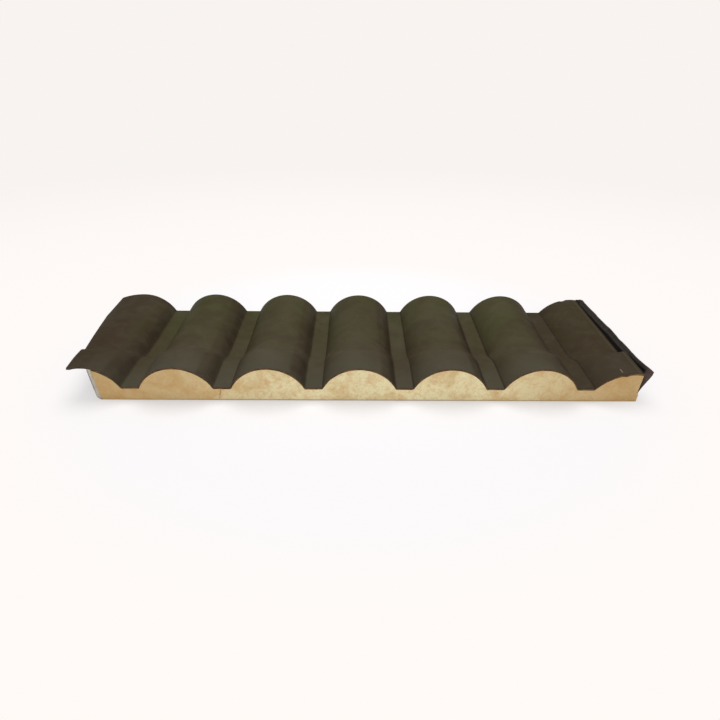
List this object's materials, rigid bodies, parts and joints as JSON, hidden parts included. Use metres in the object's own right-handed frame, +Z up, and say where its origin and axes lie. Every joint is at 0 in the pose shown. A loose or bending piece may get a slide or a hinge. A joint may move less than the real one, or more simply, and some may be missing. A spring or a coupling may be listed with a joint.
{
  "type": "insulated roof panel",
  "caption": "Short length of insulated roof sandwich panel: steel skin pressed into barrel tiles with a stepped course over a rigid foam core, with a thin lower facing and lap edges.",
  "frame": {"origin": "on the underside, in the middle of the cover width and of the length", "axes": "+X across the panel from the lap lip to the lap wave, +Y along the waves towards the eaves, +Z up out of the tiles"},
  "size_m": [1.0808, 0.318, 0.0729],
  "materials": {
    "skin_paint": "matt dark olive brown coil coating on steel sheet",
    "core_foam": "saw-cut rigid foam, mottled tan and amber",
    "strip_foam": "soft light grey foam strip",
    "facing_felt": "dull brown-black bitumen felt",
    "flap_felt": "dull charcoal bitumen felt"
  },
  "bodies": {
    "root": {"tile_skin": "skin_paint", "foam_core": "core_foam", "side_strip": "strip_foam", "underside_facing": "facing_felt", "lap_flap": "flap_felt"}
  },
  "joints": []
}
